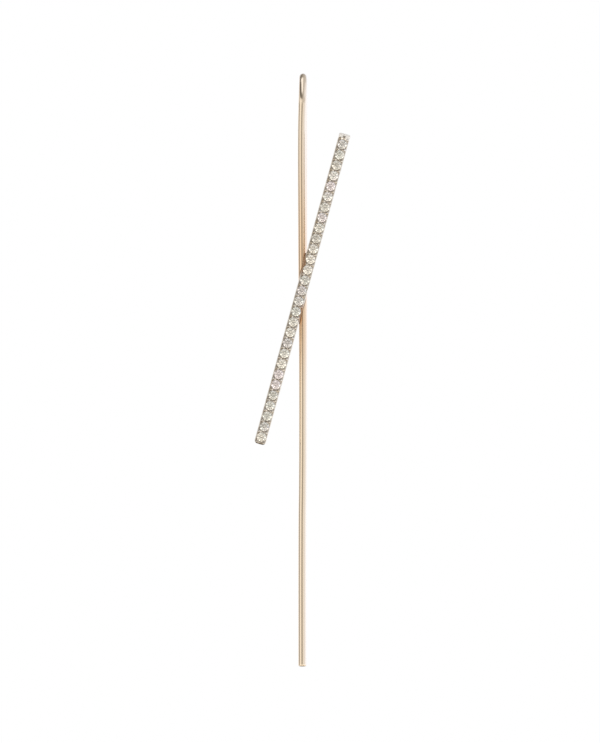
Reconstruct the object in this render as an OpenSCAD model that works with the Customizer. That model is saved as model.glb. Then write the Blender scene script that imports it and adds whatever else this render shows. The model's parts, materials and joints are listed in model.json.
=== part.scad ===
// Needle earring: a long gold needle whose top is bent over into an ear hook, with a slim bar
// of round brilliants soldered across its front. Millimetres, +Z up, the front faces -Y.
// The origin is the inside of the hook's bend, where the earring hangs.

/* [Hook wire] */
// Diameter of the round gold wire
wire_d = 0.9; // [0.8:0.05:1]
// Distance between the hook's two legs, centre to centre
leg_spacing = 6; // [5.6:0.2:8]
// Drop from the inside of the bend to the tip of the needle in front
needle_drop = 65; // [58:1:72]
// Drop from the inside of the bend to the tip of the ear wire behind
ear_wire_drop = 26; // [18:1:34]
// Rounding at the rim of the needle's blunt tip
needle_tip_round = 0.22; // [0.1:0.02:0.3]
// Rounding at the rim of the ear wire's tip, which goes through the ear
ear_wire_tip_round = 0.38; // [0.3:0.02:0.38]

/* [Stones] */
// Number of stones in the row
stone_n = 29; // [21:2:33]
// Diameter of a stone at its girdle
stone_d = 1.06; // [0.96:0.02:1.06]
// Distance from one stone's middle to the next
stone_pitch = 1.203; // [1.18:0.001:1.26]
// Table width as a share of the stone's diameter
table_share = 0.56; // [0.52:0.01:0.62]
// Crown height as a share of the stone's diameter
crown_share = 0.15; // [0.13:0.01:0.17]
// Girdle thickness as a share of the stone's diameter
girdle_share = 0.03; // [0.02:0.005:0.04]
// Pavilion depth as a share of the stone's diameter
pavilion_share = 0.43; // [0.41:0.01:0.45]
// How far a hand-set stone leans at most, in degrees
stone_lean = 2; // [0:0.5:2]

/* [Bar] */
// Width of the bar across the stones
bar_w = 1.28; // [1.26:0.01:1.4]
// Thickness of the bar from its stone face to its back
bar_t = 1.3; // [1.1:0.05:1.6]
// Metal beyond the middle of the first stone, at the bar's upper end
upper_end = 1.194; // [1.1:0.002:1.3]
// Metal beyond the middle of the last stone, at the bar's lower end
lower_end = 0.834; // [0.8:0.002:0.9]
// Lean of the bar from upright, its top to the right, in degrees
bar_lean = 15.44; // [10:0.02:20]
// Height of the bar's middle below the inside of the bend
bar_drop = 23.09; // [20:0.01:26]
// Sideways place of the bar's middle
bar_shift = -0.08; // [-0.3:0.01:0.3]
// Rounding of the corners of the stone face, seen from the front
bar_corner_round = 0.2; // [0.1:0.02:0.3]
// Rounding along the bar's long edges
bar_edge_round = 0.06; // [0.04:0.01:0.08]

/* [Setting] */
// Depth of a stone's girdle below the bar's face
girdle_drop = 0.05; // [0.03:0.01:0.08]
// Clearance between a stone's girdle and the wall of its seat
seat_gap = 0.03; // [0.02:0.005:0.03]
// Diameter of the hole drilled behind each stone
seat_hole_d = 0.4; // [0.3:0.05:0.5]
// Diameter of the beads that hold the stones
bead_d = 0.32; // [0.26:0.02:0.34]
// Distance of the beads from the bar's middle line
bead_offset = 0.43; // [0.4:0.01:0.46]

/* [Solder] */
// Depth to which the bar's back sits in the solder on the needle
solder_sink = 0.1; // [0.06:0.01:0.14]
// Width of the solder, as a share of the wire's and the bar's own
solder_share = 0.93; // [0.85:0.01:0.95]

/* [Hidden] */
function stone_name(i) = str("stone_", i < 10 ? "0" : "", i);

$fn = 48;
gold = [0.86, 0.66, 0.5];
gem = [0.9, 0.93, 0.92];

wire_r = wire_d / 2;
bend_r = leg_spacing / 2;
bend_z = wire_r - bend_r;
needle_y = -bend_r;

stone_r = stone_d / 2;
table_r = stone_r * table_share;
crown_h = stone_d * crown_share;
girdle_h = stone_d * girdle_share;
pavilion_h = stone_d * pavilion_share;

bar_len = (stone_n - 1) * stone_pitch + upper_end + lower_end;
row_drop = (upper_end - lower_end) / 2;
bar_back_y = needle_y - wire_r + solder_sink;
seat_r = stone_r + seat_gap;
seat_hole_r = seat_hole_d / 2;
seat_floor = girdle_drop + girdle_h + seat_gap;
seat_cone_h = (seat_r - seat_hole_r) * pavilion_h / stone_r;
culet_depth = girdle_drop + girdle_h + pavilion_h;
reach = 1; // how far a cutter starts outside the metal
hole_wall = 0.08; // least metal left between a drilled hole and the solder
lower_share = 0.24; // where the lower facets end, as a share of the stone's radius
golden = 0.618; // spreads the stones' turns evenly over a facet's eighth of a circle

// Place of stone i along the bar, from its middle towards its top
function stone_z(i) = ((stone_n + 1) / 2 - i) * stone_pitch - row_drop;

// A seat near the needle is closed behind, because the solder would run into its hole
function seat_is_open(i) =
    abs(stone_z(i) * sin(bar_lean) + bar_shift) > wire_r + seat_hole_r + hole_wall;

// Hand setting leaves each stone turned and leaning its own way
function stone_turn(i) = 45 * (i * golden - floor(i * golden));
function stone_tip(i) = stone_lean * sin(101 * i);
function stone_roll(i) = stone_lean * cos(67 * i);

// A point at radius r, angle a and height z
function ring(r, a, z) = [r * cos(a), r * sin(a), z];

// Height of the crown's main facets at radius r, halfway between two of them
function crown_z(r) = crown_h * (stone_r - r * cos(22.5)) / (stone_r - table_r);

// Height of the pavilion's main facets at radius r, halfway between two of them
function pavilion_z(r) = -girdle_h - pavilion_h * (stone_r - r * cos(22.5)) / stone_r;

// A straight rod from the origin down, with its lower rim rounded
module rod(len, r, rim) {
    rotate([180, 0, 0]) rotate_extrude() {
        square([r - rim, len]);
        square([r, len - rim]);
        intersection() {
            translate([r - rim, len - rim]) circle(rim);
            square([r, len]);
        }
    }
}

// A w by h rectangle about the origin, with its corners rounded
module rounded_rect(w, h, rim) {
    square([w - 2 * rim, h], center = true);
    square([w, h - 2 * rim], center = true);
    for (x = [-1, 1], y = [-1, 1])
        translate([x * (w / 2 - rim), y * (h / 2 - rim)]) circle(rim);
}

// Puts its children at the bar: X across it, Z along it, Y = 0 on its back
module at_bar() {
    translate([bar_shift, bar_back_y, -bar_drop]) rotate([0, bar_lean, 0]) children();
}

// Puts its children on the bar's stone face, beside stone i, with Z out of the face
module at_seat(i) {
    at_bar() translate([0, -bar_t, stone_z(i)]) rotate([90, 0, 0]) children();
}

module hook_wire() {
    translate([0, 0, bend_z]) {
        rotate([90, 0, 90]) rotate_extrude(angle = 180) translate([bend_r, 0]) circle(wire_r);
        translate([0, needle_y, 0]) rod(needle_drop + bend_z, wire_r, needle_tip_round);
        translate([0, -needle_y, 0]) rod(ear_wire_drop + bend_z, wire_r, ear_wire_tip_round);
    }
}

module bar_blank() {
    at_bar() intersection() {
        translate([0, -bar_t / 2, -bar_len / 2])
            linear_extrude(bar_len) rounded_rect(bar_w, bar_t, bar_edge_round);
        translate([0, reach, 0]) rotate([90, 0, 0])
            linear_extrude(bar_t + 2 * reach) rounded_rect(bar_w, bar_len, bar_corner_round);
    }
}

// The cutter for one seat: a round wall, a cone under the pavilion and a drilled hole
module seat_cutter(i) {
    hole_end = seat_is_open(i) ? bar_t + reach : culet_depth + 2 * seat_gap;
    at_seat(i) rotate_extrude() polygon([
        [0, reach],
        [seat_r, reach],
        [seat_r, -seat_floor],
        [seat_hole_r, -seat_floor - seat_cone_h],
        [seat_hole_r, -hole_end],
        [0, -hole_end]
    ]);
}

// The pair of beads between stone i and the next, shared by both
module bead_pair(i) {
    for (side = [-1, 1])
        at_seat(i + 0.5) translate([side * bead_offset, 0, 0]) sphere(d = bead_d);
}

// Solder between the round needle and the bar's flat back, where the two cross
module solder() {
    across = bar_w * solder_share;
    intersection() {
        at_bar() translate([-across / 2, -solder_sink / 2, -bar_len / 2])
            cube([across, wire_r, bar_len]);
        translate([-wire_r * solder_share, needle_y - wire_r, -needle_drop])
            cube([wire_d * solder_share, wire_r * solder_share, needle_drop]);
    }
}

module earring_metal() {
    color(gold) union() {
        hook_wire();
        difference() {
            bar_blank();
            for (i = [1:stone_n]) seat_cutter(i);
        }
        for (i = [0:stone_n]) bead_pair(i);
        solder();
    }
}

// A round brilliant about the middle of its girdle's upper rim, table up
module brilliant() {
    star_r = (table_r * cos(22.5) + stone_r) / 2;
    lower_r = stone_r * lower_share;
    points = concat(
        [for (k = [0:7]) ring(table_r, 45 * k, crown_h)],
        [for (k = [0:7]) ring(star_r, 45 * k + 22.5, crown_z(star_r))],
        [for (k = [0:15]) ring(stone_r, 22.5 * k, 0)],
        [for (k = [0:15]) ring(stone_r, 22.5 * k, -girdle_h)],
        [for (k = [0:7]) ring(lower_r, 45 * k + 22.5, pavilion_z(lower_r))],
        [[0, 0, -girdle_h - pavilion_h]]
    );
    star = 8;
    upper = 16;
    under = 32;
    lower = 48;
    culet = 56;
    polyhedron(points, concat(
        [[for (k = [7:-1:0]) k]],
        [for (k = [0:7]) [k, (k + 1) % 8, star + k]],
        [for (k = [0:7]) [k, star + k, upper + 2 * k, star + (k + 7) % 8]],
        [for (k = [0:7]) [star + k, upper + 2 * k + 1, upper + 2 * k]],
        [for (k = [0:7]) [star + k, upper + (2 * k + 2) % 16, upper + 2 * k + 1]],
        [for (k = [0:15]) [upper + k, upper + (k + 1) % 16, under + (k + 1) % 16, under + k]],
        [for (k = [0:7]) [lower + k, under + 2 * k, under + 2 * k + 1]],
        [for (k = [0:7]) [lower + k, under + 2 * k + 1, under + (2 * k + 2) % 16]],
        [for (k = [0:7]) [culet, lower + (k + 7) % 8, under + 2 * k, lower + k]]
    ));
}

module stone(i) {
    color(gem) at_seat(i) translate([0, 0, -girdle_drop])
        rotate([stone_tip(i), stone_roll(i), stone_turn(i)]) brilliant();
}

earring_metal();
for (i = [1:stone_n])
    stone(i);
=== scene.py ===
# %% [markdown]
# # Needle earring
# The real earring is one long gold wire, bent over at its top so that it hooks through the ear, with
# a slim bar of small brilliants soldered slantwise across its front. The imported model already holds
# every size and place, so this script only dresses it: it replaces the plain metal by four finely
# made pieces, gives the stones their glitter, and lights it all as a jeweller's photograph is lit.

import json
import math

import bmesh
import bpy
from mathutils import Matrix, Vector


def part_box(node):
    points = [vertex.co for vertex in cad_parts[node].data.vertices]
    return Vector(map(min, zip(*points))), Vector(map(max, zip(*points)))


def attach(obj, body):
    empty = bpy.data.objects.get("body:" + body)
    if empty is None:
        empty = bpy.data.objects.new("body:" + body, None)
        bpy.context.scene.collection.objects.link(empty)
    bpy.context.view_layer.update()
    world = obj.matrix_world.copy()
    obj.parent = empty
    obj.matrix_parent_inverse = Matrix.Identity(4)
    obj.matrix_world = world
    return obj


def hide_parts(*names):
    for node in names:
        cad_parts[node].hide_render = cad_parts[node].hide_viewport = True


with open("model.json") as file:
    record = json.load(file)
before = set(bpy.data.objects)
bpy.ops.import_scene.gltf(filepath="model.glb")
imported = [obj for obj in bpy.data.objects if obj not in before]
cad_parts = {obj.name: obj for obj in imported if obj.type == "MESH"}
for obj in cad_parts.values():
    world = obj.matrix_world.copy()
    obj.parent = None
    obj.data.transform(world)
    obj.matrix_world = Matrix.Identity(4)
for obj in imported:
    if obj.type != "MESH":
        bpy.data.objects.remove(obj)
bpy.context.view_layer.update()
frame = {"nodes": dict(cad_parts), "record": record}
scene = bpy.context.scene

# %% [markdown]
# ## Sizes
# Everything is drawn in millimetres, because jewellers think in tenths of them, and is scaled to
# metres once, when a piece is finished. The places come from the frame: the first and the last stone
# give the bar's line, its lean and the distance between stones. Only the metal's own sections, such
# as the bar's width, are repeated here as named values.

# %% Read the bar's line from the stones
MM = 0.001


def box_mm(node):
    """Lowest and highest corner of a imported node, in millimetres."""
    low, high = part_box(node)
    return low / MM, high / MM


STONES = sorted(name for name in frame["nodes"] if name.startswith("stone_"))
first_low, first_high = box_mm(STONES[0])
last_low, last_high = box_mm(STONES[-1])
top_stone = (first_low + first_high) / 2
bottom_stone = (last_low + last_high) / 2
run = top_stone - bottom_stone
run.y = 0
PITCH = run.length / (len(STONES) - 1)
UP_BAR = run.normalized()
OUT = Vector((0, -1, 0))
ACROSS = UP_BAR.cross(OUT)
LEAN = math.atan2(UP_BAR.x, UP_BAR.z)
print(len(STONES), "stones, one every", round(PITCH, 3), "mm")
print("the bar leans", round(math.degrees(LEAN), 2), "degrees")

# %% Sections of the metal, in millimetres
pin = next(mount for mount in frame["record"]["mounts"] if mount["name"] == "ear_wire")
WIRE_R = pin["dims"]["r_mm"]
BEND_R = pin["pos_m"][1] / MM
NEEDLE_TIP = 65.0
EAR_WIRE_TIP = 26.0
NEEDLE_TIP_ROUND = 0.22
EAR_WIRE_TIP_ROUND = 0.38

BAR_W = 1.28
BAR_T = 1.3
UPPER_END = 1.194
LOWER_END = 0.834
BAR_BACK = -3.35
BAR_FACE = BAR_BACK - BAR_T
BAR_L = run.length + UPPER_END + LOWER_END
ROW_DROP = (UPPER_END - LOWER_END) / 2

bar_middle = (top_stone + bottom_stone) / 2 + UP_BAR * ROW_DROP
bar_middle.y = BAR_FACE
AT_BAR = Matrix.Translation(bar_middle) @ Matrix((ACROSS, UP_BAR, OUT)).transposed().to_4x4()
print("wire", 2 * WIRE_R, "mm thick, bar", round(BAR_L, 2), "mm long")

# %% [markdown]
# ## Helpers for node trees
# A material and a Geometry Nodes tree are both nets of nodes. Written out node by node they are hard
# to read, so a small class wraps a socket and lets Python's own + - * / build the Math nodes. Any
# other node comes from one method, which is given the node's type, its settings and its inputs.


# %% A socket that can be calculated with
def maths(operation, swapped=False):
    """Makes an operator that adds a Math node for two values."""

    def apply(value, other=0.0):
        first, second = (other, value) if swapped else (value, other)
        return value.net.node("ShaderNodeMath", {"operation": operation}, {0: first, 1: second}).out(0)

    return apply


class Value:
    """One output socket of a node. Sums and comparisons on it add Math nodes to the same net."""

    def __init__(self, net, socket):
        self.net = net
        self.socket = socket

    __add__ = maths("ADD")
    __radd__ = maths("ADD", swapped=True)
    __sub__ = maths("SUBTRACT")
    __rsub__ = maths("SUBTRACT", swapped=True)
    __mul__ = maths("MULTIPLY")
    __rmul__ = maths("MULTIPLY", swapped=True)
    __truediv__ = maths("DIVIDE")
    __rtruediv__ = maths("DIVIDE", swapped=True)
    __lt__ = maths("LESS_THAN")
    __abs__ = maths("ABSOLUTE")
    least = maths("MINIMUM")
    most = maths("MAXIMUM")
    bearing = maths("ARCTAN2")
    sine = maths("SINE")
    cosine = maths("COSINE")
    root = maths("SQRT")

    def between(self, low, high, start=0.0, end=1.0):
        """Runs from start to end while this value goes from low to high."""
        sockets = {"Value": self, "From Min": low, "From Max": high, "To Min": start, "To Max": end}
        settings = {"interpolation_type": "SMOOTHSTEP"}
        return self.net.node("ShaderNodeMapRange", settings, sockets).out(0)


# %% A net of nodes, for a material, the studio or a shape
class Net:
    """Adds nodes to one tree."""

    def __init__(self, tree):
        self.tree = tree
        self.made = None

    def node(self, kind, settings=None, sockets=None):
        """Adds a node: first its settings, then the values or the links of its sockets."""
        net = Net(self.tree)
        net.made = self.tree.nodes.new(kind)
        for name, value in (settings or {}).items():
            setattr(net.made, name, value)
        for key, value in (sockets or {}).items():
            net.feed(key, value)
        return net

    def feed(self, key, value):
        """Gives one input of this node a value or a link."""
        if isinstance(value, Value):
            self.tree.links.new(value.socket, self.made.inputs[key])
        else:
            self.made.inputs[key].default_value = value

    def out(self, key):
        """One output of this node, by its name or its number."""
        return Value(Net(self.tree), self.made.outputs[key])

    def mix(self, factor, first, second):
        """A colour between two colours."""
        settings = {"data_type": "RGBA"}
        return self.node("ShaderNodeMix", settings, {0: factor, 6: first, 7: second}).out(2)

    def parts(self, vector):
        """The three numbers of a vector."""
        split = self.node("ShaderNodeSeparateXYZ", None, {0: vector})
        return split.out(0), split.out(1), split.out(2)

    def joined(self, x, y, z):
        """A vector from three numbers."""
        return self.node("ShaderNodeCombineXYZ", None, {0: x, 1: y, 2: z}).out(0)

    def ramp(self, value, stops):
        """A colour ramp: stops are (place, colour) pairs, eased from one to the next."""
        colours = self.node("ShaderNodeValToRGB", None, {0: value})
        band = colours.made.color_ramp
        band.interpolation = "EASE"
        while len(band.elements) < len(stops):
            band.elements.new(0.5)
        for element, (place, colour) in zip(band.elements, stops):
            element.position = place
            element.color = colour
        return colours.out(0)


# %% [markdown]
# ## Camera
# The photograph looks at the earring level and straight from the front, from so far away that the
# wire's two edges stay parallel. A long lens does the same: the camera stands two and a half metres
# away, and the lens is worked out from the height of the picture, which is 83 mm at the earring.

# %% Place the camera
PICTURE_H = 83.25
CAMERA_AWAY = 2500.0
PICTURE_MIDDLE = Vector((-0.337, BAR_BACK, -32.63))
SENSOR = 36.0

lens = bpy.data.cameras.new("camera")
lens.sensor_width = SENSOR
lens.lens = SENSOR * CAMERA_AWAY / PICTURE_H
lens.clip_end = 10
camera = bpy.data.objects.new("camera", lens)
camera.location = (PICTURE_MIDDLE - Vector((0, CAMERA_AWAY, 0))) * MM
camera.rotation_euler = (math.pi / 2, 0, 0)
scene.collection.objects.link(camera)
scene.camera = camera
print("lens of", round(lens.lens), "mm")

# %% [markdown]
# ## Studio
# Polished metal has hardly any colour of its own in a picture: it shows what stands round it. So the
# light matters more than the material here. A jeweller's photographer puts the piece in a white tent,
# and hangs dark cards in it so that edges stay readable. This studio is written as the world's own
# shader, by direction: a ring of light and dark at eye level, which is all that an upright wire can
# show, a dark card above on the left, and one long soft box overhead, which the bend shows. The
# stones look further: each gathers light from all round and below, so a ring of panels stands low in
# front for them, where no wire shows it. The camera itself sees plain white.

# %% Tables of light
# Light at eye level: (degrees to the right of the camera, brightness, coolness)
RING = ((-180, 1.1, 0.5), (-140, 1.1, 0.3), (-118, 0.75, 0), (-96, 0.2, 0), (-76, 0.66, 0),
        (-54, 1.12, -0.1), (-31, 0.85, -0.2), (-22, 0.5, -0.2), (-13, 0.34, -0.2), (2, 0.34, -0.1),
        (16, 0.85, 0), (26, 0.98, 0.1), (42, 0.86, 0.15), (60, 0.86, 0.5), (80, 0.94, 0.8),
        (105, 1.08, 1), (140, 1.1, 1), (180, 0.95, 0.6))
# Light a hand's breadth higher
HIGH_RING = ((-180, 0.9, 0.5), (-120, 0.9, 0.3), (-95, 0.5, 0), (-74, 0.9, 0), (-50, 1.1, 0),
             (-24, 0.85, 0), (0, 0.66, 0), (35, 0.62, 0), (64, 0.68, 0.3), (100, 0.95, 0.9),
             (140, 1, 1), (180, 0.9, 0.5))
# Cards above that, told apart by how far they stand to the right, from -1 to 1
CARDS = ((-1, 0.3, 0), (-0.9, 0.16, -0.3), (-0.5, 0.19, -0.3), (-0.2, 0.25, -0.2), (0.15, 0.47, 0),
         (0.4, 0.6, 0.2), (0.61, 0.65, 0.4), (0.71, 0.87, 0.6), (0.9, 0.9, 0.7), (1, 1, 0.9))
# Light from below: a row of panels in front, with dimmer gaps between them
LOW_RING = ((-180, 0.5, 0), (-130, 0.6, 0), (-100, 1, -0.1), (-80, 1.5, -0.1), (-60, 1.2, -0.1),
            (-45, 2.4, -0.1), (-30, 1.4, -0.1), (-15, 2.5, -0.1), (0, 2.3, -0.1), (15, 1.9, -0.1),
            (30, 1.4, -0.1), (45, 2.2, -0.1), (60, 1.2, -0.1), (80, 2.2, -0.1), (100, 1.5, -0.1),
            (130, 0.7, 0), (180, 0.5, 0))
SOFT_BOX = (1.1, 1.15, 1.24, 1)
BELOW = (0.35, 0.32, 0.27, 1)

# Where one of these gives way to the next, as the sines of two heights
ABOVE_EYE = (0.06, 0.12)
ABOVE_HIGH = (0.27, 0.4)
BELOW_EYE = (-0.34, -0.2)
BELOW_LOW = (-0.72, -0.56)
# Where the edges of the soft box fade: its lower, its far, its left and its right one
BOX_UP = (0.55, 0.8)
BOX_BACK = (0.4, 0.6)
BOX_LEFT = (-0.6, -0.48)
BOX_RIGHT = (0, 0.12)
print("lights at eye level:", len(RING), "above:", len(HIGH_RING) + len(CARDS), "below:", len(LOW_RING))


# %% World by direction
def cooled(brightness, coolness):
    """White light that gets a little blue with its coolness."""
    return brightness, brightness * (1 + 0.1 * coolness), brightness * (1 + 0.33 * coolness), 1


def table(stops, span=360):
    """The stops of a light table as places on a colour ramp from 0 to 1."""
    return [(place / span + 0.5, cooled(light, coolness)) for place, light, coolness in stops]


world = bpy.data.worlds.new("studio")
scene.world = world
world.use_nodes = True
world.node_tree.nodes.clear()
studio = Net(world.node_tree)

direction = studio.node("ShaderNodeTexCoord").out("Generated")
to_right, to_back, to_top = studio.parts(direction)
full_turn = to_right.bearing(to_back * -1) / math.tau + 0.5
light = studio.ramp(full_turn, table(RING))
light = studio.mix(to_top.between(*ABOVE_EYE), light, studio.ramp(full_turn, table(HIGH_RING)))
light = studio.mix(to_top.between(*ABOVE_HIGH), light, studio.ramp(to_right / 2 + 0.5, table(CARDS, 2)))
overhead = to_top.between(*BOX_UP) * to_back.between(*BOX_BACK, 1.0, 0.0)
overhead = overhead * to_right.between(*BOX_LEFT) * to_right.between(*BOX_RIGHT, 1.0, 0.0)
light = studio.mix(overhead, light, SOFT_BOX)
light = studio.mix(to_top.between(*BELOW_EYE, 1.0, 0.0), light, studio.ramp(full_turn, table(LOW_RING)))
light = studio.mix(to_top.between(*BELOW_LOW, 1.0, 0.0), light, BELOW)
print("light from every direction, in", len(world.node_tree.nodes), "nodes")

# %% [markdown]
# Small strong lamps would make the stones sparkle, but in the photograph they shine softly. So the
# small lamps among the low panels are only about as bright as the gaps between them. A lamp in front
# of a panel makes a dimmer spot on it, and one below the panels makes a brighter spot.

# %% Small lamps and what the camera sees
# Each lamp: (degrees to the right of the camera, degrees up). Its size and its soft edge are degrees too
LAMPS = ((-31, -22), (2, -34), (-58, -40), (60, -36))
LAMP_SIZE = 3.5
LAMP_EDGE = 1
LAMP_LIGHT = 1.4


def towards(right, up):
    """The direction this many degrees to the right of the camera and this many up."""
    turn = math.radians(right)
    rise = math.radians(up)
    return math.sin(turn) * math.cos(rise), -math.cos(turn) * math.cos(rise), math.sin(rise)


spots = 0.0
core = math.cos(math.radians(LAMP_SIZE))
edge = math.cos(math.radians(LAMP_SIZE + LAMP_EDGE))
for right, up in LAMPS:
    sockets = {0: direction, 1: towards(right, up)}
    facing = studio.node("ShaderNodeVectorMath", {"operation": "DOT_PRODUCT"}, sockets).out("Value")
    spots = facing.between(edge, core) + spots
light = studio.mix(spots.least(1), light, (LAMP_LIGHT, LAMP_LIGHT, LAMP_LIGHT, 1))
eye = studio.node("ShaderNodeLightPath").out("Is Camera Ray")
light = studio.mix(eye, light, (1, 1, 1, 1))
glow = studio.node("ShaderNodeBackground", None, {"Color": light})
studio.node("ShaderNodeOutputWorld", None, {"Surface": glow.out(0)})
scene.view_settings.view_transform = "Standard"
print("studio of", len(world.node_tree.nodes), "nodes and", len(LAMPS), "small lamps")

# %% [markdown]
# The floor is a plain white disc well below the needle's tip. It glows a little, so that it stays as
# white as the backdrop from every side, and the metal doesn't show it.

# %% Floor
FLOOR_DROP = 20.0
FLOOR_R = 700.0
FLOOR_GLOW = 0.6

white = bpy.data.materials.new("white_floor")
white.use_nodes = True
white_net = Net(white.node_tree)
white_net.made = white.node_tree.nodes["Principled BSDF"]
white_net.feed("Base Color", (0.9, 0.9, 0.9, 1))
white_net.feed("Roughness", 0.9)
white_net.feed("Emission Color", (1, 1, 1, 1))
white_net.feed("Emission Strength", FLOOR_GLOW)
disc = bmesh.new()
bmesh.ops.create_circle(disc, cap_ends=True, segments=96, radius=FLOOR_R * MM)
bmesh.ops.translate(disc, verts=disc.verts, vec=(0, 0, -(NEEDLE_TIP + FLOOR_DROP) * MM))
floor_mesh = bpy.data.meshes.new("floor")
disc.to_mesh(floor_mesh)
disc.free()
floor_mesh.materials.append(white)
floor = bpy.data.objects.new("floor", floor_mesh)
floor.visible_glossy = False
floor.visible_transmission = False
scene.collection.objects.link(floor)
print("floor", FLOOR_DROP, "mm below the tip of the needle")

# %% [markdown]
# ## Rose gold
# The wire is fourteen carat rose gold: gold with copper in it. Drawing it through a die leaves
# hair-fine lines along it, and polishing softens them but never quite takes them away. Near the
# solder the metal is a little deeper in colour. The lines need a pattern that follows the wire round
# its bend, so they read two values that the wire's own mesh carries: the way along it and the way
# around it.

# %% Gold colours and where the gold is deeper
GOLD = (0.93, 0.765, 0.575, 1)
GOLD_DEEP = (0.89, 0.63, 0.405, 1)
GOLD_PALE = (0.95, 0.82, 0.7, 1)
CROSSING_Z = bar_middle.z - bar_middle.x / math.tan(LEAN)


def new_material(name):
    """A material, its net, and its Principled shader as a node of that net."""
    made = bpy.data.materials.new(name)
    made.use_nodes = True
    net = Net(made.node_tree)
    skin = Net(made.node_tree)
    skin.made = made.node_tree.nodes["Principled BSDF"]
    return made, net, skin


def places(net):
    """The three object coordinates in millimetres."""
    where = net.node("ShaderNodeTexCoord").out("Object")
    x, y, z = net.parts(where)
    return x / MM, y / MM, z / MM


def deeper_near_crossing(net, z):
    """1 where the wire crosses the bar, fading to 0 further up than down."""
    above = (z - CROSSING_Z).between(3.0, 18.0, 1.0, 0.0)
    below = (CROSSING_Z - z).between(3.0, 13.0, 1.0, 0.0)
    return above * below


def noise(net, vector, scale, detail=2.0, roughness=0.5):
    """A soft random pattern from 0 to 1."""
    sockets = {"Vector": vector, "Scale": scale, "Detail": detail, "Roughness": roughness}
    return net.node("ShaderNodeTexNoise", None, sockets).out(0)


def bump(net, height, strength, depth_mm):
    """A normal that follows a height pattern."""
    sockets = {"Strength": strength, "Distance": depth_mm * MM, "Height": height}
    return net.node("ShaderNodeBump", None, sockets).out(0)


print("the wire crosses the bar at z =", round(CROSSING_Z, 2), "mm")


# %% Drawn and polished gold wire
def make_wire_gold():
    """Rose gold with draw lines along the wire and a deeper colour near the solder."""
    made, net, skin = new_material("drawn_rose_gold")
    x, y, z = places(net)
    along = net.node("ShaderNodeAttribute", {"attribute_name": "along"}).out("Fac")
    around = net.node("ShaderNodeAttribute", {"attribute_name": "around"}).out("Fac") * math.tau
    ring_x = around.cosine()
    ring_y = around.sine()
    lines = noise(net, net.joined(ring_x * 9, ring_y * 9, along * 0.25), 1.0, 3.0)
    clouds = noise(net, net.joined(ring_x, ring_y, along * 0.4), 0.8)
    # Near the crossing the gold is mixed towards a deeper colour
    deeper_mix = deeper_near_crossing(net, z)
    colour = net.mix(deeper_mix * (0.75 + 0.25 * clouds), GOLD, GOLD_DEEP)
    skin.feed("Base Color", net.mix(clouds * 0.12, colour, GOLD_PALE))
    skin.feed("Metallic", 1.0)
    skin.feed("Roughness", 0.1 + 0.08 * lines + 0.04 * clouds)
    skin.feed("Normal", bump(net, lines, 0.25, 0.004))
    return made


wire_gold = make_wire_gold()
print("drawn gold of", len(wire_gold.node_tree.nodes), "nodes")

# %% [markdown]
# ## The needle hook
# One round wire makes the ear wire behind, the bend that sits in the ear and the long needle in
# front. It could be a curve object with a bevel, but then its two tips could not have their own
# rounding. A Geometry Nodes tree draws the middle line by a rule instead, from the sizes as named
# inputs, and sweeps a circle along it. The points of the line crowd together at the tips, where the
# circle shrinks to round the rim. A wire that is bent by hand is never dead straight, so the needle
# keeps a sway of at most a seventh of a millimetre.


# %% Helpers for Geometry Nodes
def new_tree(name, inputs):
    """An empty Geometry Nodes tree with named inputs, each with the type of its value."""
    tree = bpy.data.node_groups.new(name, "GeometryNodeTree")
    tree.interface.new_socket("Geometry", in_out="OUTPUT", socket_type="NodeSocketGeometry")
    for label, kind in inputs.items():
        tree.interface.new_socket(label, in_out="INPUT", socket_type="NodeSocket" + kind)
    net = Net(tree)
    sizes = net.node("NodeGroupInput")
    return tree, net, sizes


def end_tree(net, geometry, material):
    """Ends a tree: realizes its instances and gives it its material."""
    real = net.node("GeometryNodeRealizeInstances", None, {0: geometry}).out(0)
    dressed = net.node("GeometryNodeSetMaterial", None, {"Geometry": real, "Material": material}).out(0)
    net.node("NodeGroupOutput", None, {0: dressed})


def grow(name, tree, values):
    """Runs a tree with its inputs set and returns the result as a plain mesh object."""
    made = bpy.data.objects.new(name, bpy.data.meshes.new(name))
    scene.collection.objects.link(made)
    modifier = made.modifiers.new("shape", "NODES")
    modifier.node_group = tree
    for item in tree.interface.items_tree:
        if item.in_out == "INPUT":
            modifier[item.identifier] = values[item.name]
    graph = bpy.context.evaluated_depsgraph_get()
    mesh = bpy.data.meshes.new_from_object(made.evaluated_get(graph), depsgraph=graph)
    made.modifiers.clear()
    made.data = mesh
    mesh.name = name
    return made


def settle(piece, place=Matrix.Identity(4), crease=None):
    """Moves a mesh made in millimetres to its place in metres, and turns its faces outwards."""
    mesh = piece.data
    mesh.transform(Matrix.Scale(MM, 4) @ place)
    work = bmesh.new()
    work.from_mesh(mesh)
    bmesh.ops.recalc_face_normals(work, faces=work.faces)
    open_edges = sum(1 for edge in work.edges if not edge.is_manifold)
    triangles = sum(len(face.verts) - 2 for face in work.faces)
    work.to_mesh(mesh)
    work.free()
    mesh.shade_smooth()
    if crease is not None:
        mesh.set_sharp_from_angle(angle=math.radians(crease))
    print(piece.name, "has", triangles, "triangles and", open_edges, "open edges")
    return piece


# %% Rounded tips and the sway of the needle
def rim(to_tip, round_r):
    """How much thinner the wire is near a tip: 0 along it, less than 0 where the rim is rounded."""
    inside = (round_r - to_tip).most(0)
    return (round_r * round_r - inside * inside).root() - round_r


# Sway of the needle: (millimetres below the bend, millimetres to the right)
SWAY = ((0, 0.073), (3, -0.077), (8, -0.137), (13.5, -0.115), (16, -0.1), (19, -0.085), (21, -0.07),
        (24, -0.045), (27, -0.022), (40, -0.007), (45, -0.032), (50, -0.077), (65, -0.077))
SWAY_AT_BAR = -0.055


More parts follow.
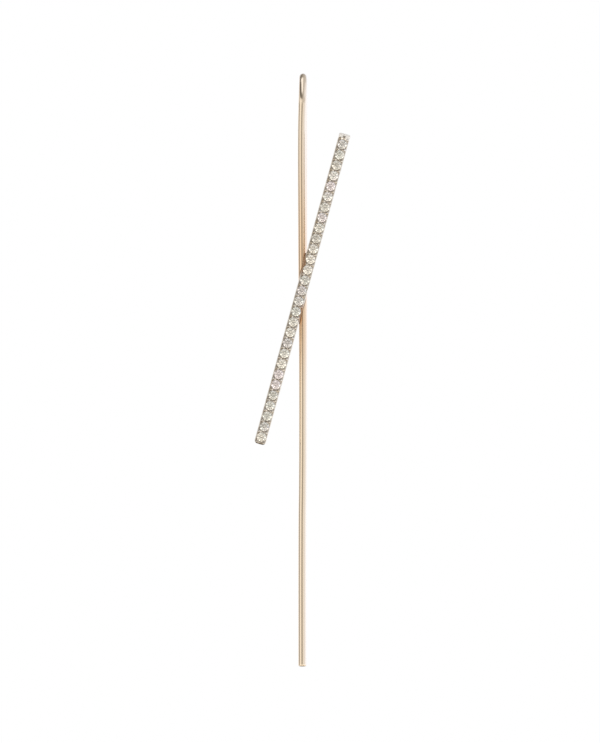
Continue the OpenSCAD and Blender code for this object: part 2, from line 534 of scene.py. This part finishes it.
def sway(net, z):
    """The sideways place of the wire at height z, on a smooth curve through the table."""
    depth = SWAY[-1][0]
    reach = 0.15
    bent = net.node("ShaderNodeFloatCurve", None, {"Value": z / -depth})
    curve = bent.made.mapping.curves[0]
    while len(curve.points) < len(SWAY):
        curve.points.new(0.5, 0.5)
    for point, (below, right) in zip(curve.points, SWAY):
        point.location = (below / depth, 0.5 + right / (2 * reach))
    bent.made.mapping.update()
    return (bent.out(0) - 0.5) * (2 * reach)


print("the needle sways", round(max(abs(right) for below, right in SWAY), 2), "mm at most")


# %% Tree of the wire
def wire_tree():
    """The middle line of the hook by a rule, and a circle swept along it."""
    inputs = {"Wire radius": "Float", "Bend radius": "Float", "Needle drop": "Float",
              "Ear wire drop": "Float", "Needle tip round": "Float", "Ear wire tip round": "Float",
              "Stations": "Int", "Sides": "Int", "Material": "Material"}
    tree, net, sizes = new_tree("hook_wire", inputs)
    wire_r = sizes.out("Wire radius")
    bend_r = sizes.out("Bend radius")
    bend_z = wire_r - bend_r
    back_leg = sizes.out("Ear wire drop") + bend_z
    front_leg = sizes.out("Needle drop") + bend_z
    arc = bend_r * math.pi
    length = back_leg + arc + front_leg
    stations = sizes.out("Stations")
    index = net.node("GeometryNodeInputIndex").out(0)
    way = (index * math.pi / (stations - 1)).cosine() * -0.5 + 0.5
    along = way * length
    angle = ((along - back_leg) / bend_r).most(0).least(math.pi)
    to_end = length - along
    front_z = (front_leg - to_end).most(0)
    side = sway(net, bend_z - front_z + angle.sine() * bend_r)
    y = angle.cosine() * bend_r
    z = bend_z + angle.sine() * bend_r - (back_leg - along).most(0) - front_z
    in_front = angle.between(0.6 * math.pi, math.pi)
    line = net.node("GeometryNodeMeshLine", None, {"Count": stations}).out(0)
    place = net.joined(side * in_front, y, z)
    line = net.node("GeometryNodeSetPosition", None, {"Geometry": line, "Position": place}).out(0)
    thick = rim(along, sizes.out("Ear wire tip round")).least(rim(to_end, sizes.out("Needle tip round")))
    for label, value in (("along", along), ("thick", wire_r + thick)):
        line = net.node("GeometryNodeStoreNamedAttribute", {"data_type": "FLOAT", "domain": "POINT"},
                        {"Geometry": line, "Name": label, "Value": value}).out(0)
    path = net.node("GeometryNodeMeshToCurve", None, {0: line}).out(0)
    circle = net.node("GeometryNodeCurvePrimitiveCircle", None, {"Resolution": sizes.out("Sides")}).out(0)
    part = net.node("GeometryNodeSplineParameter").out("Factor")
    circle = net.node("GeometryNodeStoreNamedAttribute", {"data_type": "FLOAT", "domain": "POINT"},
                      {"Geometry": circle, "Name": "around", "Value": part}).out(0)
    radius = net.node("GeometryNodeInputNamedAttribute", {"data_type": "FLOAT"}, {"Name": "thick"}).out(0)
    swept = net.node("GeometryNodeCurveToMesh", None,
                     {"Curve": path, "Profile Curve": circle, "Scale": radius, "Fill Caps": True}).out(0)
    end_tree(net, swept, sizes.out("Material"))
    return tree


# %% Grow the wire
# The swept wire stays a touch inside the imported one
WIRE_SPARE = 0.0005
TIP_SPARE = 0.005

needle_hook = grow("needle_hook", wire_tree(), {
    "Wire radius": WIRE_R - WIRE_SPARE, "Bend radius": BEND_R, "Needle drop": NEEDLE_TIP - TIP_SPARE,
    "Ear wire drop": EAR_WIRE_TIP, "Needle tip round": NEEDLE_TIP_ROUND,
    "Ear wire tip round": EAR_WIRE_TIP_ROUND, "Stations": 640, "Sides": 40, "Material": wire_gold})
settle(needle_hook, crease=50)

# %% [markdown]
# ## White plating
# The bar is cast in the same rose gold, but it has been dipped face down in a bath of white rhodium,
# so that the metal between the stones doesn't tint them. Only its back is still gold. The cutter
# leaves the face bright, and the dark webs between the stones are painted shade in the corners
# between them, a little lighter on the right. The flank that faces the upper half of the needle is
# satin, and the other one is brushed and painted darker, as painted shade beside the lower half of the
# needle. The upper end is matte and painted pale, with a pad on either side and a pale rim at its very
# end, as a painted highlight, and the lower end is round and painted a little brown, as painted shade
# where it faces down. Beside the wire, the bar's edges are browner. Masks by depth, by the way across
# and by the way along the bar put each of these in its place.


# %% Places on the bar
def on_bar(x, z):
    """The way across the bar and the way along it, from its middle, in millimetres."""
    right = x - bar_middle.x
    up = z - bar_middle.z
    return right * ACROSS.x + up * ACROSS.z, right * UP_BAR.x + up * UP_BAR.z


def brown_beside_wire(x, y, across, along, ragged):
    """Where the bar's edges are browner beside the wire, from 0 to 1."""
    from_wire = abs(x - SWAY_AT_BAR) + (ragged - 0.5) * 0.5
    beside_wire = from_wire.between(0.28, 0.55, 1.0, 0.0)
    edges = (abs(across) + (ragged - 0.5) * 0.25).between(0.28, 0.48)
    middle = abs(y - (BAR_FACE + BAR_BACK) / 2).between(0.1, 0.6, 0.45, 1.0)
    return beside_wire * edges * middle * abs(along).between(1.2, 2.3)


def web_shade_mask(net, across, along):
    """1 in the corners between two stones, where shade is painted, and 0 elsewhere."""
    in_row = (along + ROW_DROP) / PITCH
    junction = net.node("ShaderNodeMath", {"operation": "PINGPONG"}, {0: in_row, 1: 0.5}).out(0)
    inside_rim = abs(across).between(0.62, 0.54)
    web = abs(across).between(0.15, 0.4).most(across.between(-0.3, 0.0))
    return junction.between(0.1, 0.24) * web * inside_rim


def bar_ends(across, along, ragged):
    """The matte upper end with its pads and the rim on it, all painted pale as a highlight, and the painted
    shade of the lower end, from 0 to 1.
    """
    half = BAR_L / 2
    wave = (ragged - 0.5) * 0.3
    from_top = half - along + wave
    pads = from_top.between(0.7, 0.55) * abs(across).between(0.08, 0.22)
    satin = pads.most(from_top.between(0.32, 0.14))
    highlight_rim = (along + wave).between(half - 0.3, half - 0.1)
    shade_low_end = (half + along + (ragged - 0.5) * 0.15).between(0.1, 0.3, 0.5, 0.0)
    return satin, highlight_rim, shade_low_end


print("the bar reaches", round(BAR_L / 2, 2), "mm up and down from its middle")


# %% Plated face, dark webs and gold back
BESIDE_WIRE_COLOUR = (0.4, 0.24, 0.14, 1)
FACE_WARM = (0.72, 0.64, 0.53, 1)
FACE_CLEAN = (0.9, 0.845, 0.77, 1)
WEB_SHADE = (0.35, 0.29, 0.23, 1)
SATIN_FLANK = (0.96, 0.92, 0.86, 1)
SHADED_BRUSHED_FLANK = (0.5, 0.46, 0.4, 1)
BRUSH_LINES = (0.6, 0.56, 0.5, 1)
END_HIGHLIGHT = (0.98, 0.91, 0.81, 1)
LOW_END_SHADE = (0.34, 0.28, 0.19, 1)


def make_bar_metal():
    """Rhodium with painted shade in the webs, a matte upper end painted as a highlight, painted shade on the
    lower end, a satin flank, a brushed flank painted darker as shade, and a rose gold back.
    """
    made, net, skin = new_material("plated_bar")
    x, y, z = places(net)
    ragged = noise(net, net.joined(x, y, z), 1.6, 3.0)
    marks = noise(net, net.joined(x * 14, y * 14, z * 14), 1.0, 4.0, 0.65)
    across, along = on_bar(x, z)
    depth = y - BAR_FACE
    corner = web_shade_mask(net, across, along)
    less_shade_at_right = across.between(0.2, 0.4, 1.0, 0.75)
    face = net.mix(ragged, FACE_WARM, FACE_CLEAN)
    # Painted shade in the corners between the stones, a little less of it on the right
    face = net.mix(corner * less_shade_at_right * (0.6 + 0.5 * marks).least(1), face, WEB_SHADE)
    flank = depth.between(0.14, 0.3)
    right = across.between(-0.1, 0.1)
    brushed = noise(net, net.joined(across * 9, along * 0.6, depth * 9), 1.0, 3.0)
    # The brushed flank is painted darker: painted shade beside the lower half of the needle
    side = net.mix(right, SATIN_FLANK, SHADED_BRUSHED_FLANK)
    side = net.mix(brushed * 0.15, side, BRUSH_LINES)
    plated = net.mix(flank, face, side)
    satin_highlight_end, highlight_rim, shade_low_end = bar_ends(across, along, ragged)
    # Painted highlight: the upper end, its pads and its rim get a pale colour
    plated = net.mix(satin_highlight_end.most(highlight_rim), plated, END_HIGHLIGHT)
    # Painted shade on the lower end, which faces down
    plated = net.mix(shade_low_end, plated, LOW_END_SHADE)
    # The bar's edges are mixed towards brown beside the wire
    plated = net.mix(brown_beside_wire(x, y, across, along, ragged), plated, BESIDE_WIRE_COLOUR)
    back = (depth + (ragged - 0.5) * 0.06).between(BAR_T - 0.05, BAR_T - 0.02)
    satin = satin_highlight_end.most(flank * (1 - right))
    skin.feed("Base Color", net.mix(back, plated, GOLD))
    skin.feed("Metallic", (1 - 0.85 * satin).most(back))
    skin.feed("Roughness", 0.14 + 0.12 * marks + 0.1 * corner.most(flank) + 0.22 * highlight_rim)
    skin.feed("Normal", bump(net, marks, 0.3, 0.006))
    return made


bar_metal = make_bar_metal()
print("plated metal of", len(bar_metal.node_tree.nodes), "nodes")

# %% [markdown]
# The beads are raised from the same metal and burnished by the cup of the beading tool, so they are
# smoother than the face round them. They could share the bar's material, but in the photograph the
# beads on the left are darker than those on the right, so a mask by the way across paints shade on them.

# %% Burnished beads
BEAD_BRIGHT = ((0.62, 0.525, 0.4, 1), (0.77, 0.725, 0.67, 1))
BEAD_SHADED = ((0.43, 0.355, 0.25, 1), (0.6, 0.555, 0.5, 1))


def make_bead_metal():
    """Rhodium burnished by the beading tool, with painted shade on the left-hand beads and near the lower
    end, and a cast that differs by place.
    """
    made, net, skin = new_material("bead_rhodium")
    x, y, z = places(net)
    cast = noise(net, net.joined(x, y, z), 2.4, 1.0)
    across, along = on_bar(x, z)
    bright = net.mix(cast.between(0.35, 0.65), *BEAD_BRIGHT)
    shaded_left = net.mix(cast.between(0.35, 0.65), *BEAD_SHADED)
    # The left-hand beads get the darker colour: painted shade
    metal = net.mix(across.between(-0.2, 0.2), shaded_left, bright)
    # Beads near the lower end get the same painted shade
    metal = net.mix((BAR_L / 2 + along).between(0.35, 0.5, 0.4, 0.0), metal, LOW_END_SHADE)
    skin.feed("Base Color", net.mix(brown_beside_wire(x, y, across, along, cast), metal, BESIDE_WIRE_COLOUR))
    skin.feed("Metallic", 1.0)
    skin.feed("Roughness", 0.12)
    return made


bead_metal = make_bead_metal()
print("bead metal of", len(bead_metal.node_tree.nodes), "nodes")

# %% [markdown]
# ## The stone bar
# On the bench the bar starts as a plain rail with a slightly domed face and soft ends. A seat is
# drilled and cut for every stone, and the holes are opened behind so that light reaches the stones.
# The script works in that order too: it makes the rail and the cutters, and a Geometry Nodes tree
# repeats the cutters along the rail and cuts them all out at once. The seats behind which the needle
# runs are closed, because solder would run in.


# %% Turned cutters
# One seat: its radii, its heights over the face of the bar and the slope of its cone
SEAT_R = 0.545
HOLE_R = 0.2
BEVEL_R = 0.68
BEVEL_TOP = 0.015
BEVEL_FOOT = -0.045
SEAT_FLOOR = -0.112
CONE_SLOPE = 0.86


def bridge(work, rings, sides):
    """Closes the band between each ring of points and the next. A ring of one point is a tip."""
    for near, far in zip(rings, rings[1:]):
        for k in range(sides):
            corners = (near[k % len(near)], near[(k + 1) % len(near)],
                       far[(k + 1) % len(far)], far[k % len(far)])
            # At a tip two of the corners are one point, which counts once
            work.faces.new(list(dict.fromkeys(corners)))


def loose_object(name, work):
    """An object outside the scene from a bmesh, with its faces turned outwards."""
    bmesh.ops.recalc_face_normals(work, faces=work.faces)
    mesh = bpy.data.meshes.new(name)
    work.to_mesh(mesh)
    work.free()
    return bpy.data.objects.new(name, mesh)


def turned(name, profile, sides):
    """A closed solid turned round the Z axis: profile is (radius, height) pairs from axis to axis."""
    work = bmesh.new()
    steps = [math.tau * k / sides for k in range(sides)]
    rings = []
    for radius, height in profile:
        angles = steps if radius > 0 else [0.0]
        ring = [(radius * math.cos(a), radius * math.sin(a), height) for a in angles]
        rings.append([work.verts.new(point) for point in ring])
    bridge(work, rings, sides)
    return loose_object(name, work)


def seat_cutter(name, hole_end):
    """The bur for one seat: a bright bevel, a round wall, a cone under the stone and a drilled hole."""
    cone_end = SEAT_FLOOR - (SEAT_R - HOLE_R) * CONE_SLOPE
    profile = ((0, 1), (BEVEL_R, 1), (BEVEL_R, BEVEL_TOP), (SEAT_R, BEVEL_FOOT),
               (SEAT_R, SEAT_FLOOR), (HOLE_R, cone_end), (HOLE_R, -hole_end), (0, -hole_end))
    return turned(name, profile, 48)


# %% The rail
def quarter(radius, inside):
    """How far a quarter circle of this radius has dropped, this far inside its end."""
    short = max(radius - inside, 0.0)
    return radius - math.sqrt(radius * radius - short * short)


def rail_section(half, top, low):
    """One section of the rail as (across, out) points: domed face, rounded edges, flat back."""
    edge = 0.07
    dome = 0.06
    inner = half - edge
    steps = 10
    points = []
    for k in range(steps + 1):
        across = inner * (2 * k / steps - 1)
        points.append((across, top - dome * (across / inner) ** 2))
    turns = [math.radians(a) for a in (25, 50, 75, 90)]
    shoulder = top - dome - edge
    points += [(inner + edge * math.sin(a), shoulder + edge * math.cos(a)) for a in turns]
    points += [(inner + edge * math.cos(a), low + edge - edge * math.sin(a)) for a in [0.0] + turns]
    points += [(-inner - edge * math.cos(a), low + edge - edge * math.sin(a)) for a in turns[::-1] + [0.0]]
    points += [(-inner - edge * math.sin(a), shoulder + edge * math.cos(a)) for a in turns[::-1]]
    return points


def bar_rail():
    """The plain rail: sections along the bar, which round off towards both ends."""
    upper_corner = 0.2
    lower_corner = 0.38
    end_round = 0.24
    back_round = 0.07
    steps = 10
    largest = max(upper_corner, lower_corner, end_round)
    insets = [largest * (1 - math.cos(math.pi / 2 * k / steps)) for k in range(steps + 1)]
    straight = (BAR_L - 2 * largest) / (2 * len(STONES))
    insets += [largest + straight * k for k in range(1, len(STONES) + 1)]
    stations = [(inset - BAR_L / 2, inset) for inset in insets]
    stations += [(BAR_L / 2 - inset, inset) for inset in insets[-2::-1]]
    work = bmesh.new()
    rings = []
    for along, inset in stations:
        half = BAR_W / 2 - quarter(upper_corner if along > 0 else lower_corner, inset)
        section = rail_section(half, -quarter(end_round, inset), quarter(back_round, inset) - BAR_T)
        rings.append([work.verts.new((across, along, out)) for across, out in section])
    bridge(work, rings, len(rings[0]))
    work.faces.new(rings[0])
    work.faces.new(rings[-1])
    return loose_object("rail", work)


# %% Tree of the bar
def bar_tree():
    """Repeats the seat cutters along the rail and cuts them out of it."""
    inputs = {"Rail": "Object", "Open seat": "Object", "Closed seat": "Object", "Seats": "Int",
              "Pitch": "Float", "Row drop": "Float", "Closed reach": "Float", "Closed middle": "Float",
              "Material": "Material"}
    tree, net, sizes = new_tree("seat_row", inputs)
    rail = net.node("GeometryNodeObjectInfo", None, {"Object": sizes.out("Rail")}).out("Geometry")
    seats = sizes.out("Seats")
    pitch = sizes.out("Pitch")
    start = net.joined(0.0, pitch * (seats - 1) * -0.5 - sizes.out("Row drop"), 0.0)
    step = net.joined(0.0, pitch, 0.0)
    row = net.node("GeometryNodeMeshLine", None,
                   {"Count": seats, "Start Location": start, "Offset": step}).out(0)
    along = net.parts(net.node("GeometryNodeInputPosition").out(0))[1]
    closed = abs(along - sizes.out("Closed middle")) < sizes.out("Closed reach")
    cutters = []
    for label, chosen in (("Open seat", 1 - closed), ("Closed seat", closed)):
        bur = net.node("GeometryNodeObjectInfo", None, {"Object": sizes.out(label), "As Instance": True})
        cutters.append(net.node("GeometryNodeInstanceOnPoints", None, {
            "Points": row, "Selection": chosen, "Instance": bur.out("Geometry")}).out(0))
    join = net.node("GeometryNodeJoinGeometry", None, {0: cutters[0]})
    join.feed(0, cutters[1])
    burs = net.node("GeometryNodeRealizeInstances", None, {0: join.out(0)}).out(0)
    cut = net.node("GeometryNodeMeshBoolean", {"operation": "DIFFERENCE", "solver": "EXACT"},
                   {"Mesh 1": rail, "Mesh 2": burs, "Self Intersection": True})
    end_tree(net, cut.out(0), sizes.out("Material"))
    return tree


# %% Cut the bar
# A seat is closed where the needle runs behind it, with some metal left beside the hole
HOLE_WALL = 0.08
CLOSED_DEPTH = 0.58

crossing_along = (CROSSING_Z - bar_middle.z) / math.cos(LEAN)
closed_reach = (WIRE_R + HOLE_R + HOLE_WALL) / math.sin(LEAN)
stone_bar = grow("stone_bar", bar_tree(), {
    "Rail": bar_rail(), "Open seat": seat_cutter("open_seat", BAR_T + 1),
    "Closed seat": seat_cutter("closed_seat", CLOSED_DEPTH),
    "Seats": len(STONES), "Pitch": PITCH, "Row drop": ROW_DROP, "Closed reach": closed_reach,
    "Closed middle": crossing_along, "Material": bar_metal})
settle(stone_bar, AT_BAR, crease=28)

# %% [markdown]
# ## The setting beads
# Between two stones the setter raises a bead of metal at each edge and pushes it over both girdles.
# Every bead is dug up by hand, so no two are quite alike. Sixty of them follow the bar: a Geometry
# Nodes tree sets a pair at each junction, and gives each one a small turn, shift and size of its own
# from a fixed seed.


# %% Tree of the beads
def bead_tree():
    """A pair of beads at every junction between stones, each a little different."""
    inputs = {"Junctions": "Int", "Pitch": "Float", "Row drop": "Float", "Bead radius": "Float",
              "Offset": "Float", "Rise": "Float", "Uneven": "Float", "Seed": "Int", "Material": "Material"}
    tree, net, sizes = new_tree("bead_row", inputs)
    count = sizes.out("Junctions") * 2
    points = net.node("GeometryNodeMeshLine", None, {"Count": count}).out(0)
    index = net.node("GeometryNodeInputIndex").out(0)
    pair = net.node("ShaderNodeMath", {"operation": "FLOOR"}, {0: index / 2}).out(0)
    side = (index - pair * 2) * 2 - 1
    seed = sizes.out("Seed")
    uneven = sizes.out("Uneven")

    def chance(low, high, offset):
        """A number for each bead, the same in every run."""
        return net.node("FunctionNodeRandomValue", {"data_type": "FLOAT"},
                        {"Min": low, "Max": high, "ID": index, "Seed": seed + offset}).out("Value")

    drift = chance(-1.0, 1.0, 0) * uneven * 0.12
    across = side * (sizes.out("Offset") + chance(-1.0, 1.0, 1) * uneven * 0.08)
    along = (pair - (sizes.out("Junctions") - 1) / 2) * sizes.out("Pitch") - sizes.out("Row drop") + drift
    place = net.joined(across, along, sizes.out("Rise"))
    points = net.node("GeometryNodeSetPosition", None, {"Geometry": points, "Position": place}).out(0)
    ball = net.node("GeometryNodeMeshUVSphere", None,
                    {"Segments": 20, "Rings": 12, "Radius": sizes.out("Bead radius")}).out(0)
    smooth = net.node("GeometryNodeSetShadeSmooth", None, {"Geometry": ball}).out(0)
    wide = chance(0.94, 1.1, 2)
    size = net.joined(wide * 0.95, wide * 1.12, chance(0.94, 1.04, 3))
    turn = net.joined(chance(-0.15, 0.15, 4), chance(-0.15, 0.15, 5), chance(-0.4, 0.4, 6))
    spin = net.node("FunctionNodeEulerToRotation", None, {0: turn}).out(0)
    beads = net.node("GeometryNodeInstanceOnPoints", None, {
        "Points": points, "Instance": smooth, "Rotation": spin, "Scale": size}).out(0)
    end_tree(net, beads, sizes.out("Material"))
    return tree


# %% Grow the beads
setting_beads = grow("setting_beads", bead_tree(), {
    "Junctions": len(STONES) + 1, "Pitch": PITCH, "Row drop": ROW_DROP, "Bead radius": 0.15,
    "Offset": 0.425, "Rise": -0.065, "Uneven": 0.25, "Seed": 7, "Material": bead_metal})
settle(setting_beads, AT_BAR)

# %% [markdown]
# ## The solder
# Molten solder creeps into every corner between wire and bar and freezes there in a hollow curve.
# That shape has a short rule: take the distance to the wire and the distance to the bar, and blend
# the two with a smooth minimum. A tree fills a grid with that value and draws the surface where it
# is zero. What lies inside the wire and the bar is left out, so that only the fillet remains.


# %% Solder, browner than the gold and partly darkened as painted shade
SOLDER_DEEP = (0.36, 0.22, 0.11, 1)
SOLDER_LIGHT = (0.58, 0.39, 0.24, 1)
SOLDER_LOW_SHADE = (0.17, 0.1, 0.045, 1)


def make_solder_gold():
    """Gold solder: browner and darker than the wire, the darkness partly painted shade in the corners it
    fills, and darkest at its lower end, as painted shade in the lower corner.
    """
    made, net, skin = new_material("gold_solder")
    x, y, z = places(net)
    stain = noise(net, net.joined(x, y, z), 1.3, 1.0)
    colour = net.mix(stain.between(0.3, 0.7), SOLDER_DEEP, SOLDER_LIGHT)
    # Painted shade in the lower corner between wire and bar
    low_corner_shade = (z - CROSSING_Z).between(-3.0, -2.0, 0.85, 0.0)
    skin.feed("Base Color", net.mix(low_corner_shade, colour, SOLDER_LOW_SHADE))
    skin.feed("Metallic", 1.0)
    skin.feed("Roughness", 0.3 + 0.15 * stain)
    skin.feed("Normal", bump(net, stain, 0.15, 0.02))
    return made


solder_gold = make_solder_gold()
print("solder of", len(solder_gold.node_tree.nodes), "nodes")


# %% Tree of the solder
def solder_tree():
    """A grid of distances to wire and bar, and the surface of the fillet between them."""
    inputs = {"Wire radius": "Float", "Wire depth": "Float", "Wire shift": "Float", "Bar half width": "Float",
              "Bar back": "Float", "Bar face": "Float", "Lean": "Float", "Blend": "Float", "Low": "Vector",
              "High": "Vector", "Cell": "Float", "Edge waves": "Float", "Material": "Material"}
    tree, net, sizes = new_tree("solder_fillet", inputs)
    x, y, z = net.parts(net.node("GeometryNodeInputPosition").out(0))
    back = y - sizes.out("Wire depth")
    beside = x - sizes.out("Wire shift")
    to_wire = (beside * beside + back * back).root() - sizes.out("Wire radius")
    lean = sizes.out("Lean")
    across = x * lean.cosine() - z * lean.sine()
    half_thick = (sizes.out("Bar back") - sizes.out("Bar face")) * 0.5
    middle_y = (sizes.out("Bar back") + sizes.out("Bar face")) * 0.5
    past_side = abs(across) - sizes.out("Bar half width")
    past_back = abs(y - middle_y) - half_thick
    out_side = past_side.most(0)
    out_back = past_back.most(0)
    to_bar = (out_side * out_side + out_back * out_back).root() + past_side.most(past_back).least(0)
    blend = sizes.out("Blend")
    near = (blend - abs(to_wire - to_bar)).most(0)
    sharp = to_wire.least(to_bar)
    soft = sharp - near * near / (blend * 4)
    wave = noise(net, net.joined(x, y, z), sizes.out("Edge waves"), 1.0)
    lift = 0.004
    bite = 0.05
    fillet = (soft - lift).most((sharp + bite) * -1).most(wave * 0.12 - near)
    low = sizes.out("Low")
    high = sizes.out("High")
    low_x, low_y, low_z = net.parts(low)
    high_x, high_y, high_z = net.parts(high)
    cell = sizes.out("Cell")
    grid = net.node("GeometryNodeVolumeCube", None, {
        "Density": fillet * -1, "Background": -1.0, "Min": low, "Max": high,
        "Resolution X": (high_x - low_x) / cell, "Resolution Y": (high_y - low_y) / cell,
        "Resolution Z": (high_z - low_z) / cell}).out(0)
    skin = net.node("GeometryNodeVolumeToMesh", None, {"Volume": grid, "Threshold": 0.0}).out(0)
    place = net.node("GeometryNodeInputPosition").out(0)
    even = net.node("GeometryNodeBlurAttribute", {"data_type": "FLOAT_VECTOR"},
                    {"Value": place, "Iterations": 6}).out(0)
    skin = net.node("GeometryNodeSetPosition", None, {"Geometry": skin, "Position": even}).out(0)
    end_tree(net, skin, sizes.out("Material"))
    return tree


# %% Grow the solder round the crossing
# The box that it is worked out in: two corners as (right, back), and the spare length at either end
SOLDER_LOW = (-1.3, -4.5)
SOLDER_HIGH = (1.3, -2.6)
SOLDER_SPARE = 1.2

solder_reach = (WIRE_R + BAR_W / 2) / math.sin(LEAN) + SOLDER_SPARE
solder_seam = grow("solder_seam", solder_tree(), {
    "Wire radius": WIRE_R, "Wire depth": -BEND_R, "Wire shift": SWAY_AT_BAR, "Bar half width": BAR_W / 2,
    "Bar back": BAR_BACK, "Bar face": BAR_FACE, "Lean": LEAN, "Blend": 0.17,
    "Low": (*SOLDER_LOW, -solder_reach), "High": (*SOLDER_HIGH, solder_reach), "Cell": 0.022,
    "Edge waves": 1.5, "Material": solder_gold})
settle(solder_seam, Matrix.Translation((0, 0, CROSSING_Z)))

# %% [markdown]
# ## The stones
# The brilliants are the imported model's own solids, facets and all. They only need the right glass:
# light bends hard in diamond, and what goes in at the table comes back out of it. A faint tint of
# warm, green or rose differs from stone to stone, and some stones are darker than others, as in any
# parcel of small stones.


# %% Diamond
WARM_TINT = (1.0, 0.907, 0.76, 1)
GREEN_TINT = (0.94, 0.915, 0.785, 1)
ROSE_TINT = (1.0, 0.87, 0.82, 1)
BLACK = (0, 0, 0, 1)


def make_diamond():
    """Clear, strongly bending glass whose faint tint and brightness differ by place."""
    made, net, skin = new_material("diamond")
    x, y, z = places(net)
    pick = noise(net, net.joined(x, y * 0, z), 0.5, 0.0)
    tint = net.mix(pick.between(0.35, 0.5), WARM_TINT, GREEN_TINT)
    tint = net.mix(pick.between(0.5, 0.65), tint, ROSE_TINT)
    clean = noise(net, net.joined(x + 9, y * 0, z), 0.7, 0.0).between(0.35, 0.6)
    skin.feed("Base Color", net.mix(clean, net.mix(0.22, tint, BLACK), tint))
    skin.feed("Roughness", 0.0)
    skin.feed("IOR", 2.42)
    skin.feed("Transmission Weight", 1.0)
    return made


diamond = make_diamond()
for stone in STONES:
    for holder in frame["nodes"][stone].material_slots:
        holder.material = diamond
print(len(STONES), "stones are diamond now")

# %% [markdown]
# ## Hand over the pieces
# All four pieces stand for the imported metal and ride on its one body. A stone needs many bounces of
# light before it glitters, because the light goes round inside it.

# %% Ride and bounces
GOLD_PIECES = (needle_hook, solder_seam)
PLATED_PIECES = (stone_bar, setting_beads)
for piece in GOLD_PIECES + PLATED_PIECES:
    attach(piece, "root")
    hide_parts("earring_metal")
print(len(GOLD_PIECES + PLATED_PIECES), "pieces stand for the metal")
scene.cycles.max_bounces = 20
scene.cycles.transmission_bounces = 20
scene.cycles.glossy_bounces = 12
